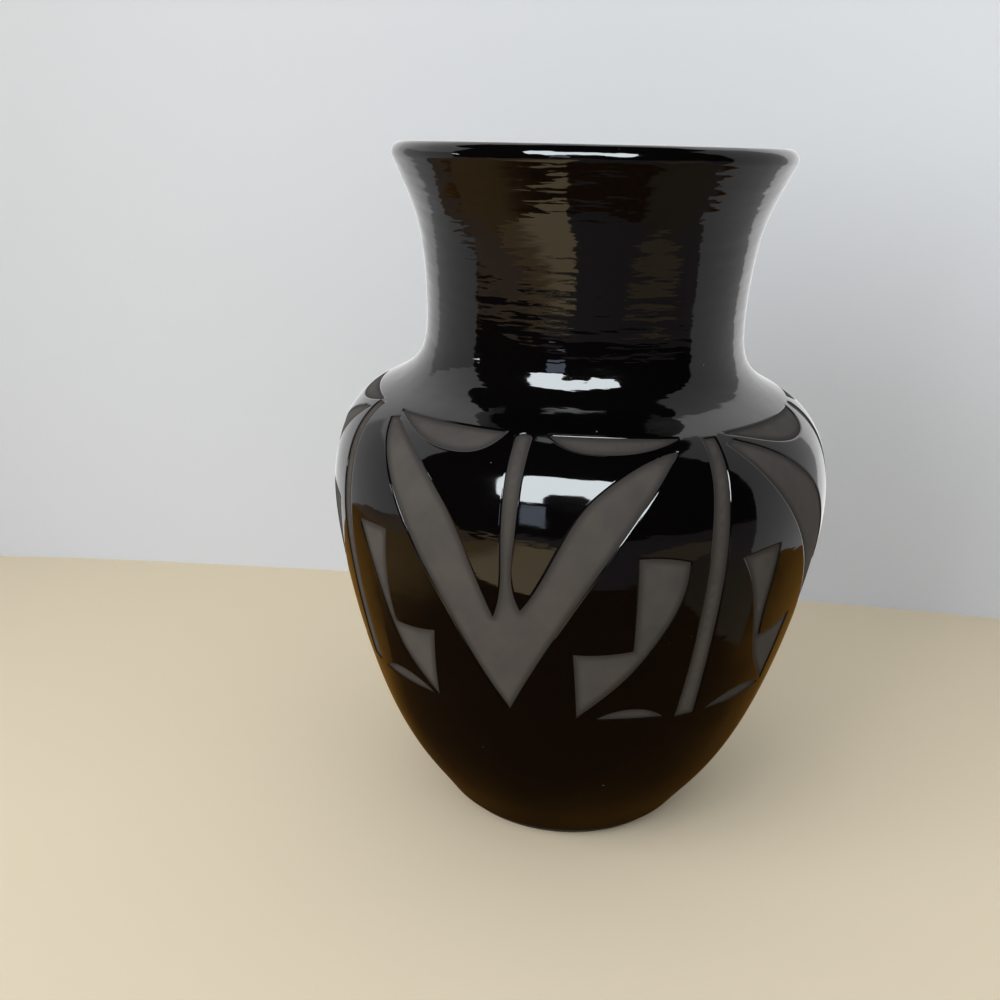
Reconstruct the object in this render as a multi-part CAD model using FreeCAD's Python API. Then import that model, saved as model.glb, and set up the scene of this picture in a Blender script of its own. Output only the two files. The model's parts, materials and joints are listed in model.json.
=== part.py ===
import FreeCAD, Part
import math
import os

# Black pottery jar with a matte banded pattern, built up from the base in
# courses of clay and then coated. The origin is the centre of the foot, +Z is
# up and the front of the pattern faces -Y. All lengths are in millimetres.

Vector = FreeCAD.Vector
origin = Vector(0, 0, 0)
upward = Vector(0, 0, 1)

# Outside of the finished jar
jar_height = 178.0
foot_diameter = 68.0
belly_diameter = 131.0
belly_height = 92.0
neck_diameter = 81.7
neck_height = 137.0
lip_diameter = 99.0
lip_lean_angle = 26.0

# Thickness of the clay and of what lies on it
clay_wall = 4.2
base_thickness = 7.0
gloss_thickness = 0.5
matte_thickness = 0.22
skin_clearance = 0.03

# Foot and floor
foot_round = 1.4
foot_recess_radius = 23.0
foot_recess_depth = 1.2
floor_flat_radius = 20.0

# Where the gloss coat starts above the foot and ends inside the mouth
gloss_foot_line = 2.4
gloss_mouth_depth = 20.0

# Band of matte ornament: its foot as a share of the belly's height, and its top
# as a share of the rise from the belly to the neck.
band_bottom_share = 0.5576
band_top_share = 0.5733
band_margin = 2.5
stem_width = 3.6
stem_waist_width = 2.9
bar_foot_width = 5.2
bar_waist_width = 4.5
bar_top_width = 3.5

# Directions of the ornament in degrees round the jar, from -Y towards +X
panel_names = ["front", "right", "back", "left"]
stem_angles = [-12.6, 77.5, 167.5, 257.5]
bar_foot_angles = [29.2, 122.5, 212.5, 302.1]
bar_top_angles = [31.7, 122.5, 212.5, 297.6]

# Outline of the outside in three spans, as pairs of height and radius shares.
# Foot to belly: of the belly height, and from foot radius to belly radius.
body_shares = [
    (-0.040, -0.084), (0.000, 0.000), (0.067, 0.131), (0.164, 0.322), (0.290, 0.518),
    (0.464, 0.706), (0.697, 0.882), (0.871, 0.971), (1.000, 1.000),
]
# Belly to neck: of the rise between them, and from neck radius to belly radius.
shoulder_shares = [
    (0.229, 0.956), (0.409, 0.834), (0.547, 0.606), (0.664, 0.238), (0.764, 0.070),
    (0.902, 0.006), (1.000, 0.000),
]
# Neck to lip: of the rise between them, and from neck radius to lip radius.
neck_shares = [
    (0.096, 0.007), (0.382, 0.105), (0.668, 0.362), (0.858, 0.705), (1.000, 1.000),
]

# Heights of the joints between the courses: two on the way from the foot to the
# belly, two from there to the neck and one from there to the lip, as shares of each.
course_names = ["base_bowl", "lower_wall", "belly_wall", "shoulder_wall", "neck_wall", "rim_coil"]
body_joint_shares = [0.232, 0.697]
shoulder_joint_shares = [0.329, 0.724]
neck_joint_share = 0.653

# Where the rounded corner inside the base runs out on the wall, as a share of
# the first course, and how full the corner is.
floor_corner_top_share = 0.80
floor_corner_fullness_share = 0.60

# Edges of the ornament, corner to corner. Each point is a share of the way
# round from stem to bar, then a share of the band's height from its bottom.
# The ornament was laid on by eye, so its left and right hands differ a little.
arm_shares = {
    "left": [
        [(0.0, 0.020), (0.174, 0.235), (0.316, 0.433), (0.539, 0.698), (0.728, 0.877), (0.852, 0.968)],
        [(0.852, 0.968), (0.800, 0.978)],
        [(0.800, 0.978), (0.600, 0.929), (0.400, 0.838), (0.280, 0.749), (0.166, 0.593), (0.062, 0.405)],
    ],
    "right": [
        [(0.0, 0.020), (0.105, 0.170), (0.273, 0.404), (0.565, 0.755), (0.665, 0.848), (0.828, 0.964)],
        [(0.828, 0.964), (0.687, 0.949), (0.452, 0.874), (0.342, 0.806), (0.256, 0.705), (0.067, 0.445)],
    ],
}
sickle_shares = {
    "left": [
        [(0.642, 0.624), (0.750, 0.622), (0.863, 0.612)],
        [(0.863, 0.612), (0.777, 0.471), (0.717, 0.332), (0.642, 0.182), (0.514, 0.059), (0.424, -0.009)],
        [(0.424, -0.009), (0.406, 0.144), (0.382, 0.286)],
        [(0.382, 0.286), (0.515, 0.265), (0.645, 0.257)],
        [(0.645, 0.257), (0.662, 0.349), (0.653, 0.525), (0.642, 0.624)],
    ],
    "right": [
        [(0.605, 0.651), (0.730, 0.648), (0.854, 0.629)],
        [(0.854, 0.629), (0.821, 0.463), (0.746, 0.344), (0.632, 0.214), (0.471, 0.086), (0.366, 0.011)],
        [(0.366, 0.011), (0.348, 0.150), (0.328, 0.287)],
        [(0.328, 0.287), (0.480, 0.289), (0.624, 0.302)],
        [(0.624, 0.302), (0.612, 0.514), (0.605, 0.651)],
    ],
}
upper_crescent_shares = {
    "left": [
        [(0.104, 0.999), (0.419, 0.998), (0.834, 0.994)],
        [(0.834, 0.994), (0.638, 0.965), (0.470, 0.941), (0.298, 0.937), (0.181, 0.957), (0.104, 0.999)],
    ],
    "right": [
        [(0.148, 1.000), (0.483, 1.000), (0.866, 0.994)],
        [(0.866, 0.994), (0.679, 0.971), (0.421, 0.962), (0.250, 0.975), (0.148, 1.000)],
    ],
}
lower_crescent_shares = {
    "left": [
        [(0.460, -0.012), (0.540, 0.018), (0.640, 0.032), (0.760, 0.022), (0.880, -0.022)],
        [(0.880, -0.022), (0.680, -0.018), (0.460, -0.012)],
    ],
    "right": [
        [(0.471, 0.001), (0.560, 0.032), (0.640, 0.043), (0.750, 0.034), (0.859, -0.008)],
        [(0.859, -0.008), (0.660, 0.000), (0.471, 0.001)],
    ],
}
# Half width of the stem from its root to its top: share of the band's height,
# then share of the way from the waist's width to the top's.
stem_edge_shares = [(0.520, 0.0), (0.700, 0.2), (0.860, 0.9), (0.990, 1.0)]
# A bar leans from its foot angle to its top angle: height share, lean share.
bar_lean_shares = [(0.0, 0.0), (0.3, 0.0), (0.6, 0.08), (0.8, 0.35), (1.0, 1.0)]
bar_foot_share = -0.020
bar_top_share = 0.988

# Numbers of points laid along a curve that follows another one
offset_points = 90
edge_points = 14
bisection_steps = 60

foot_radius = foot_diameter / 2
belly_radius = belly_diameter / 2
neck_radius = neck_diameter / 2
lip_radius = lip_diameter / 2
coat_build = gloss_thickness + skin_clearance
finished_wall = coat_build + clay_wall + coat_build
lip_round = finished_wall / 2
coat_back_round = lip_round - gloss_thickness
clay_lip_round = clay_wall / 2


def profile_point(radius, height):
    return Vector(radius, 0, height)


def between(start, end, share):
    return start + (end - start) * share


band_bottom = belly_height * band_bottom_share
band_top = between(belly_height, neck_height, band_top_share)

# The lip is a half round on the end of the wall, so its centre fixes the end of the outline.
lip_lean = math.radians(lip_lean_angle)
lip_centre = profile_point(lip_radius - lip_round, jar_height - lip_round)
lip_outward = Vector(math.cos(lip_lean), 0, -math.sin(lip_lean))
lip_upward = Vector(math.sin(lip_lean), 0, math.cos(lip_lean))
lip_start = lip_centre + lip_outward * lip_round


def make_outline():
    """Curve of the finished outside, from just under the foot to the start of the lip."""
    points = []
    for height_share, radius_share in body_shares:
        radius = between(foot_radius, belly_radius, radius_share)
        points.append(profile_point(radius, belly_height * height_share))
    for height_share, radius_share in shoulder_shares:
        radius = between(neck_radius, belly_radius, radius_share)
        points.append(profile_point(radius, between(belly_height, neck_height, height_share)))
    for height_share, radius_share in neck_shares:
        radius = between(neck_radius, lip_start.x, radius_share)
        points.append(profile_point(radius, between(neck_height, lip_start.z, height_share)))
    first_run = points[1] - points[0]
    curve = Part.BSplineCurve()
    curve.interpolate(Points=points, InitialTangent=first_run.normalize(), FinalTangent=lip_upward)
    return curve


outline = make_outline()


def outward(parameter):
    """Direction square to the outline, away from the clay."""
    along = outline.tangent(parameter)[0]
    return Vector(along.z, 0, -along.x)


def make_layer_curve(depth):
    """The outline moved into the wall by a depth, measured square to it."""
    first = outline.FirstParameter
    last = outline.LastParameter
    points = []
    for step in range(offset_points + 1):
        parameter = between(first, last, step / offset_points)
        points.append(outline.value(parameter) - outward(parameter) * depth)
    curve = Part.BSplineCurve()
    curve.interpolate(
        Points=points,
        InitialTangent=outline.tangent(first)[0],
        FinalTangent=outline.tangent(last)[0],
    )
    return curve


def parameter_where(curve, axis, target):
    """Parameter where a curve that climbs along an axis passes a target."""
    low = curve.FirstParameter
    high = curve.LastParameter
    for _ in range(bisection_steps):
        middle = (low + high) / 2
        if curve.value(middle).dot(axis) < target:
            low = middle
        else:
            high = middle
    return (low + high) / 2


def radius_at_height(curve, height):
    return curve.value(parameter_where(curve, upward, height)).x


def station(curve, depth, height):
    """Parameter on a layer's curve, square to the outline at a height."""
    parameter = parameter_where(outline, upward, height)
    return curve.parameter(outline.value(parameter) - outward(parameter) * depth)


# Depths of the layers under the finished outside, and their curves. Gloss and
# matte both end a hairline off the clay.
matte_depth = gloss_thickness - matte_thickness
clay_depth = coat_build
clay_inside_depth = coat_build + clay_wall
coat_inside_depth = clay_inside_depth + skin_clearance

matte_outside = make_layer_curve(matte_depth)
skin_back = make_layer_curve(gloss_thickness)
clay_outside = make_layer_curve(clay_depth)
clay_inside = make_layer_curve(clay_inside_depth)
coat_inside_back = make_layer_curve(coat_inside_depth)
coat_inside = make_layer_curve(finished_wall)


def line(start, end):
    return Part.LineSegment(start, end).toShape()


def revolve(edges):
    """Solid of one turn about Z from a closed profile."""
    wire = Part.Wire(Part.__sortEdges__(edges))
    return Part.Face(wire).revolve(origin, upward, 360)


def lip_arc(round_radius):
    """Half round over the end of the wall, about the lip's centre."""
    outer = lip_centre + lip_outward * round_radius
    crown = lip_centre + lip_upward * round_radius
    inner = lip_centre - lip_outward * round_radius
    return Part.Arc(outer, crown, inner).toShape()


def make_base_bowl(top):
    """Bowl that starts the jar: recessed foot, thick floor and the first rise of the wall."""
    outer_foot = parameter_where(clay_outside, upward, 0)
    outer_top = station(clay_outside, clay_depth, top)
    inner_top = station(clay_inside, clay_inside_depth, top)
    corner_top = station(clay_inside, clay_inside_depth, top * floor_corner_top_share)

    foot_edge = clay_outside.value(outer_foot)
    recess_edge = profile_point(foot_recess_radius, 0)
    recess_crown = profile_point(0, foot_recess_depth)
    dish_radius = (foot_recess_radius ** 2 + foot_recess_depth ** 2) / (2 * foot_recess_depth)
    half_way = foot_recess_radius / 2
    half_height = math.sqrt(dish_radius ** 2 - half_way ** 2) - (dish_radius - foot_recess_depth)
    recess = Part.Arc(recess_crown, profile_point(half_way, half_height), recess_edge)

    # The corner inside leaves the floor level and joins the wall along it.
    floor_end = profile_point(floor_flat_radius, base_thickness)
    wall_start = clay_inside.value(corner_top)
    wall_run = clay_inside.tangent(corner_top)[0]
    meeting = wall_start - wall_run * ((wall_start.z - base_thickness) / wall_run.z)
    corner = Part.BezierCurve()
    corner.setPoles([
        floor_end,
        between(floor_end, meeting, floor_corner_fullness_share),
        between(wall_start, meeting, floor_corner_fullness_share),
        wall_start,
    ])

    floor_centre = profile_point(0, base_thickness)
    bowl = revolve([
        recess.toShape(),
        line(recess_edge, foot_edge),
        clay_outside.toShape(outer_foot, outer_top),
        line(clay_outside.value(outer_top), clay_inside.value(inner_top)),
        clay_inside.toShape(corner_top, inner_top),
        corner.toShape(),
        line(floor_end, floor_centre),
        line(floor_centre, recess_crown),
    ])
    foot_rims = []
    for edge in bowl.Edges:
        box = edge.BoundBox
        if abs(box.ZMax) < foot_recess_depth and box.XMax > (foot_recess_radius + foot_edge.x) / 2:
            foot_rims.append(edge)
    return bowl.makeFillet(foot_round, foot_rims)


def make_wall_course(bottom, top):
    """Ring of wall between two joints cut square to the outline."""
    outer_low = station(clay_outside, clay_depth, bottom)
    outer_high = station(clay_outside, clay_depth, top)
    inner_low = station(clay_inside, clay_inside_depth, bottom)
    inner_high = station(clay_inside, clay_inside_depth, top)
    return revolve([
        clay_outside.toShape(outer_low, outer_high),
        line(clay_outside.value(outer_high), clay_inside.value(inner_high)),
        clay_inside.toShape(inner_low, inner_high),
        line(clay_inside.value(inner_low), clay_outside.value(outer_low)),
    ])


def make_rim_coil(bottom):
    """Last coil, rounded over into the lip."""
    outer_low = station(clay_outside, clay_depth, bottom)
    inner_low = station(clay_inside, clay_inside_depth, bottom)
    outer_end = clay_outside.LastParameter
    inner_end = clay_inside.LastParameter
    return revolve([
        clay_outside.toShape(outer_low, outer_end),
        lip_arc(clay_lip_round),
        clay_inside.toShape(inner_low, inner_end),
        line(clay_inside.value(inner_low), clay_outside.value(outer_low)),
    ])


def spans(curve, parameters):
    """Edges along a curve from each parameter to the next."""
    return [curve.toShape(low, high) for low, high in zip(parameters, parameters[1:])]


def make_gloss_shell():
    """Gloss coat as one skin: up the outside, over the lip and a little way down inside.

    Its outside has the band as a face of its own, a margin wider than the ornament.
    """
    heights = [gloss_foot_line, band_bottom - band_margin, band_top + band_margin]
    front = [station(outline, 0, height) for height in heights]
    back = [station(skin_back, gloss_thickness, height) for height in heights]
    mouth = jar_height - gloss_mouth_depth
    inner_front = station(coat_inside, finished_wall, mouth)
    inner_back = station(coat_inside_back, coat_inside_depth, mouth)
    edges = spans(outline, front + [outline.LastParameter])
    edges += spans(skin_back, back + [skin_back.LastParameter])
    edges += [
        lip_arc(lip_round),
        coat_inside.toShape(inner_front, coat_inside.LastParameter),
        line(coat_inside.value(inner_front), coat_inside_back.value(inner_back)),
        coat_inside_back.toShape(inner_back, coat_inside_back.LastParameter),
        lip_arc(coat_back_round),
        line(skin_back.value(back[0]), outline.value(front[0])),
    ]
    return revolve(edges)


def make_matte_shell():
    """Thin matte skin on the clay round the band, from which the ornament is cut."""
    heights = [band_bottom - band_margin, band_top + band_margin]
    outer_low, outer_high = [station(matte_outside, matte_depth, height) for height in heights]
    inner_low, inner_high = [station(skin_back, gloss_thickness, height) for height in heights]
    return revolve([
        matte_outside.toShape(outer_low, outer_high),
        line(matte_outside.value(outer_high), skin_back.value(inner_high)),
        skin_back.toShape(inner_low, inner_high),
        line(skin_back.value(inner_low), matte_outside.value(outer_low)),
    ])


def smooth_through(points):
    curve = Part.BSplineCurve()
    curve.interpolate(Points=points)
    return curve


def band_level(height_share):
    return between(band_bottom, band_top, height_share)


def facing_point(angle, height, facing):
    """Point of the outside at an angle and height, seen square on from the facing angle."""
    sideways = radius_at_height(outline, height) * math.sin(math.radians(angle - facing))
    return Vector(sideways, 0, height)


def stroke(shares, stem, bar, facing):
    """One smooth edge of a motif, laid on the outside from its shares."""
    plan = smooth_through([Vector(around, 0, up) for around, up in shares])
    points = []
    for step in range(edge_points + 1):
        parameter = between(plan.FirstParameter, plan.LastParameter, step / edge_points)
        share = plan.value(parameter)
        points.append(facing_point(between(stem, bar, share.x), band_level(share.z), facing))
    return smooth_through(points).toShape()


def motif_cutter(edges, facing):
    """Prism from the jar's axis out through the wall, with a motif's outline."""
    face = Part.Face(Part.Wire(Part.__sortEdges__(edges)))
    prism = face.extrude(Vector(0, -belly_diameter, 0))
    prism.rotate(origin, upward, facing)
    return prism


def chevron_cutter(stem, bars):
    """Two arms that rise from a point to either side, and the stem between them."""
    edges = []
    stem_tops = []
    for hand, side in (("left", -1), ("right", 1)):
        arm = [stroke(edge, stem, bars[hand], stem) for edge in arm_shares[hand]]
        edges += arm
        notch = min((vertex.Point for vertex in arm[-1].Vertexes), key=lambda point: point.z)
        stem_points = [notch]
        for height_share, width_share in stem_edge_shares:
            width = between(stem_waist_width, stem_width, width_share)
            stem_points.append(Vector(side * width / 2, 0, band_level(height_share)))
        edges.append(smooth_through(stem_points).toShape())
        stem_tops.append(stem_points[-1])
    crown = Vector(0, 0, band_top)
    edges.append(Part.Arc(stem_tops[0], crown, stem_tops[1]).toShape())
    return motif_cutter(edges, stem)


def bar_cutter(foot_angle, top_angle):
    """Tall bar over the whole band, which leans a little and widens to its foot."""
    lean = smooth_through([Vector(part, 0, up) for up, part in bar_lean_shares])
    sides = {-1: [], 1: []}
    for step in range(edge_points + 1):
        up = step / edge_points
        share = lean.value(parameter_where(lean, upward, up)).x
        level = band_level(between(bar_foot_share, bar_top_share, up))
        centre = facing_point(between(foot_angle, top_angle, share), level, foot_angle)
        waist_pull = math.sin(math.pi * up)
        width = between(between(bar_foot_width, bar_top_width, up), bar_waist_width, waist_pull)
        for side in sides:
            sides[side].append(centre + Vector(side * width / 2, 0, 0))
    edges = [smooth_through(points).toShape() for points in sides.values()]
    edges.append(line(sides[-1][0], sides[1][0]))
    edges.append(line(sides[-1][-1], sides[1][-1]))
    return motif_cutter(edges, foot_angle)


def half_panel_cutter(strokes, stem, bar):
    """Motif that stands between a stem and a bar."""
    shares = [around for edge in strokes for around, up in edge]
    facing = between(stem, bar, (min(shares) + max(shares)) / 2)
    return motif_cutter([stroke(edge, stem, bar, facing) for edge in strokes], facing)


def make_cutters():
    """All the motifs' prisms by name, panel by panel."""
    cutters = {}
    motifs = {
        "sickle": sickle_shares,
        "upper_crescent": upper_crescent_shares,
        "lower_crescent": lower_crescent_shares,
    }
    for index, panel in enumerate(panel_names):
        stem = stem_angles[index]
        bars = {"left": bar_foot_angles[index - 1], "right": bar_foot_angles[index]}
        if bars["left"] > stem:
            bars["left"] -= 360
        cutters["chevron_" + panel] = chevron_cutter(stem, bars)
        for hand in bars:
            for motif, shares in motifs.items():
                name = motif + "_" + panel + "_" + hand
                cutters[name] = half_panel_cutter(shares[hand], stem, bars[hand])
        neighbour = panel_names[(index + 1) % len(panel_names)]
        name = "tall_bar_" + panel + "_" + neighbour
        cutters[name] = bar_cutter(bars["right"], bar_top_angles[index])
    return cutters


def make_parts():
    tops = [belly_height * share for share in body_joint_shares]
    tops += [between(belly_height, neck_height, share) for share in shoulder_joint_shares]
    tops.append(between(neck_height, lip_start.z, neck_joint_share))
    parts = {course_names[0]: make_base_bowl(tops[0])}
    for index in range(1, len(tops)):
        parts[course_names[index]] = make_wall_course(tops[index - 1], tops[index])
    parts[course_names[-1]] = make_rim_coil(tops[-1])

    gloss_coat = make_gloss_shell()
    matte_shell = make_matte_shell()
    motifs = {}
    for name, cutter in make_cutters().items():
        gloss_coat = gloss_coat.cut(cutter)
        motifs[name] = matte_shell.common(cutter)
    parts["gloss_coat"] = gloss_coat
    parts.update(motifs)
    return parts


def main():
    os.makedirs("parts", exist_ok=True)
    for name, shape in make_parts().items():
        solids = shape.Solids
        result = solids[0] if len(solids) == 1 else Part.makeCompound(solids)
        result.exportStep("parts/" + name + ".step")
        print(name, len(solids), "solid", round(result.Volume, 2), "valid", result.isValid())


main()
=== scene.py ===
import json
import math
import bmesh
import bpy
import numpy as np
from mathutils import Matrix, Vector, kdtree
from mathutils.geometry import delaunay_2d_cdt


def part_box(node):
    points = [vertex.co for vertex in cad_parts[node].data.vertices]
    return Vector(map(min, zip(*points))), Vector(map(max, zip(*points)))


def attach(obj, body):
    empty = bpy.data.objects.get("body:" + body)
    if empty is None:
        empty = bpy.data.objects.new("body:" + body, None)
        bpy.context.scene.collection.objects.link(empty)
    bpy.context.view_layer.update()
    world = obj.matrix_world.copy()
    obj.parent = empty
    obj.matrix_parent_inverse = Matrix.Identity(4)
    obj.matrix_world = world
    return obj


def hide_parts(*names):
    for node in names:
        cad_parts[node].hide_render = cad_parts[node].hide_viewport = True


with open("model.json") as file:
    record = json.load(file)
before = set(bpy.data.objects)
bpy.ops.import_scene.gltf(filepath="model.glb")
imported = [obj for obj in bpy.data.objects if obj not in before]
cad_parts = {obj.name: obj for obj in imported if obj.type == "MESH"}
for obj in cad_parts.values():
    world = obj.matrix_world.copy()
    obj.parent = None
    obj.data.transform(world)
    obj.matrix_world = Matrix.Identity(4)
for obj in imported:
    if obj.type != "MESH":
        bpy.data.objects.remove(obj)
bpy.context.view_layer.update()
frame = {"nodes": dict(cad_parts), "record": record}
nodes = frame["nodes"]
mm = 0.001
touching = 1e-7  # places nearer than this count as one
print("frame loaded:", len(nodes), "nodes")


def linearColour(hexColour):  # sRGB hex to the linear values that a shader takes
    channels = [int(hexColour[i:i + 2], 16) / 255 for i in (1, 3, 5)]
    linear = [c / 12.92 if c <= 0.04045 else ((c + 0.055) / 1.055) ** 2.4 for c in channels]
    return (*linear, 1.0)


def newMaterial(name):
    material = bpy.data.materials.new(name)
    material.use_nodes = True
    tree = material.node_tree
    tree.nodes.clear()
    return material, tree


def addNode(tree, kind, settings=None, inputs=None):
    # settings are the node's own options; an input is a value, or another node's output to link
    node = tree.nodes.new(kind)
    for key, value in (settings or {}).items():
        setattr(node, key, value)
    for key, value in (inputs or {}).items():
        if isinstance(value, bpy.types.NodeSocket):
            tree.links.new(value, node.inputs[key])
        else:
            node.inputs[key].default_value = value
    return node


def objectPlace(tree):
    return addNode(tree, "ShaderNodeTexCoord").outputs["Object"]


def splitPlace(tree, place):
    return addNode(tree, "ShaderNodeSeparateXYZ", inputs={"Vector": place}).outputs


def arithmetic(tree, operation, *values):
    return addNode(tree, "ShaderNodeMath", {"operation": operation}, dict(enumerate(values))).outputs[0]


def ramp(tree, value, span, ends=(0.0, 1.0), kind="LINEAR"):
    # goes from the first end to the second while the value crosses the span
    return addNode(tree, "ShaderNodeMapRange", {"interpolation_type": kind}, {
        "Value": value, "From Min": span[0], "From Max": span[1],
        "To Min": ends[0], "To Max": ends[1]}).outputs["Result"]


def noise(tree, place, size, detail, grain=0.5):
    return addNode(tree, "ShaderNodeTexNoise", inputs={
        "Vector": place, "Scale": 1 / size, "Detail": detail, "Roughness": grain}).outputs["Fac"]


def levelMarks(tree, place, length, height, detail, grain):
    # noise drawn out level round the jar, as a tool leaves its marks
    scale = (1 / length, 1 / length, 1 / height)
    drawn = addNode(tree, "ShaderNodeMapping", inputs={"Vector": place, "Scale": scale}).outputs[0]
    return noise(tree, drawn, 1.0, detail, grain)


def blend(tree, share, first, second):
    return addNode(tree, "ShaderNodeMix", {"data_type": "RGBA"}, {0: share, 6: first, 7: second}).outputs[2]


def bumps(tree, height, depth, under=None):
    inputs = {"Strength": 1.0, "Distance": depth, "Height": height}
    if under:
        inputs["Normal"] = under
    return addNode(tree, "ShaderNodeBump", inputs=inputs).outputs[0]


def toSurface(tree, kind, inputs):
    shader = addNode(tree, kind, inputs=inputs)
    addNode(tree, "ShaderNodeOutputMaterial", inputs={"Surface": shader.outputs[0]})


def pick(things):
    # selects these alone, the first of them active
    bpy.ops.object.select_all(action="DESELECT")
    for thing in things:
        thing.select_set(True)
    bpy.context.view_layer.objects.active = things[0]


# camera: the photograph's own viewpoint, in front of the jar and level with its lip
cameraView = {"lens": 36.0, "sensor": 36.0, "back": 262.62 * mm, "height": 177.14 * mm,
              "yaw": -4.548, "pitch": 19.475, "roll": 1.287}


def makeCamera(view):
    yaw, pitch, roll = (math.radians(view[key]) for key in ("yaw", "pitch", "roll"))
    ahead = Vector((math.sin(yaw) * math.cos(pitch), math.cos(yaw) * math.cos(pitch), -math.sin(pitch)))
    right = Vector((math.cos(yaw), -math.sin(yaw), 0))
    up = right.cross(ahead)
    tiltedRight = right * math.cos(roll) + up * math.sin(roll)
    tiltedUp = up * math.cos(roll) - right * math.sin(roll)
    data = bpy.data.cameras.new("camera")
    data.lens = view["lens"]
    data.sensor_width = view["sensor"]
    camera = bpy.data.objects.new("camera", data)
    bpy.context.scene.collection.objects.link(camera)
    turn = Matrix((tiltedRight, tiltedUp, -ahead)).transposed().to_4x4()
    camera.matrix_world = Matrix.Translation((0, -view["back"], view["height"])) @ turn
    bpy.context.scene.camera = camera


makeCamera(cameraView)
print("camera set")

# stage: a plain pale floor for the eye; the jar's gloss sees warm and grey cards laid on it instead. A card
# with a second tone goes over to it along the axis within the span, in metres, along a ragged border
stage = {
    "floor": {"hex": "#ebdcc0", "low": (-3.0, -3.0), "high": (3.0, 3.0)},
    # nearCard is dark in front of the jar and brighter behind it: painted shadow of the jar on the table
    "nearCard": {"hex": "#563a1a", "low": (-1.1, -0.20), "high": (1.1, 0.95), "lift": 0.05 * mm,
                 "second": {"hex": "#9c6f2f", "axis": "Y", "span": (-0.045, 0.05),
                            "rough": 0.14, "size": 0.09}},
    # farCard is a grey sheet for the floor farther in front of the jar, where it lies in shade: painted shadow
    "farCard": {"hex": "#746c6c", "low": (-0.36, -0.95), "high": (1.1, -0.20), "lift": 0.05 * mm},
    "leftCard": {"hex": "#a88f77", "low": (-0.56, -0.45), "high": (-0.30, 0.12), "lift": 2 * mm},
    # sideCard goes darker towards the middle, in front of the jar: painted shadow of the jar on the table
    "sideCard": {"hex": "#b08d58", "low": (-0.31, -0.21), "high": (-0.09, 0.0), "lift": 0.5 * mm,
                 "second": {"hex": "#563a1a", "axis": "X", "span": (-0.19, -0.11),
                            "rough": 0.06, "size": 0.06}},
    "rightCard": {"hex": "#80705a", "low": (0.12, -0.21), "high": (1.1, -0.03), "lift": 1.5 * mm,
                  "second": {"hex": "#7c7271", "axis": "X", "span": (0.2, 0.3),
                             "rough": 0.06, "size": 0.08}}}
raggedDetail = 2.0


def stagePlane(name, look):
    # a level sheet between two corners, painted or glowing
    bpy.ops.mesh.primitive_plane_add(size=1, location=(0, 0, 0))
    sheet = bpy.context.object
    sheet.name = name
    low, high = Vector(look["low"]), Vector(look["high"])
    middle, size = (low + high) / 2, high - low
    move = Matrix.Translation((middle.x, middle.y, look.get("lift", 0)))
    sheet.data.transform(move @ Matrix.Diagonal((size.x, size.y, 1, 1)))
    material, tree = newMaterial(name + " paint")
    colour = linearColour(look["hex"])
    if "second" in look:
        second = look["second"]
        place, rough = objectPlace(tree), second["rough"]
        cloud = noise(tree, place, second["size"], raggedDetail)
        ragged = arithmetic(tree, "MULTIPLY_ADD", cloud, rough, splitPlace(tree, place)[second["axis"]])
        span = [end + rough / 2 for end in second["span"]]
        colour = blend(tree, ramp(tree, ragged, span, kind="SMOOTHSTEP"), colour, linearColour(second["hex"]))
    if "glow" in look:
        toSurface(tree, "ShaderNodeEmission", {"Color": colour, "Strength": look["glow"]})
    else:
        toSurface(tree, "ShaderNodeBsdfDiffuse", {"Color": colour})
    sheet.data.materials.append(material)
    return sheet


def onlyInGloss(thing):
    thing.visible_camera = thing.visible_diffuse = thing.visible_shadow = thing.visible_transmission = False


def makeFloor():
    for name, look in stage.items():
        sheet = stagePlane(name, look)
        if name == "floor":
            sheet.visible_glossy = False
        else:
            onlyInGloss(sheet)


# white card: stands bent round the back of the jar, on a plan in mm, and is clear from behind; the gloss
# sees it glow, brighter towards the right up to an edge, and dimmer past that edge and low on the left
whiteCard = {"hex": "#dde1e6", "height": 530 * mm, "steps": 24,
             "plan": [(-435, -100), (-412, 30), (-345, 105), (-260, 137), (177, 129), (236, 100),
                      (262, 20), (262, -75)],
             "glow": 1.05, "gain": 0.32, "gainSpan": (95 * mm, 165 * mm),
             "dim": 0.46, "rightSpan": (191 * mm, 198 * mm),
             "leftSpan": (-233 * mm, -255 * mm), "lowSpan": (248 * mm, 233 * mm)}


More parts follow.
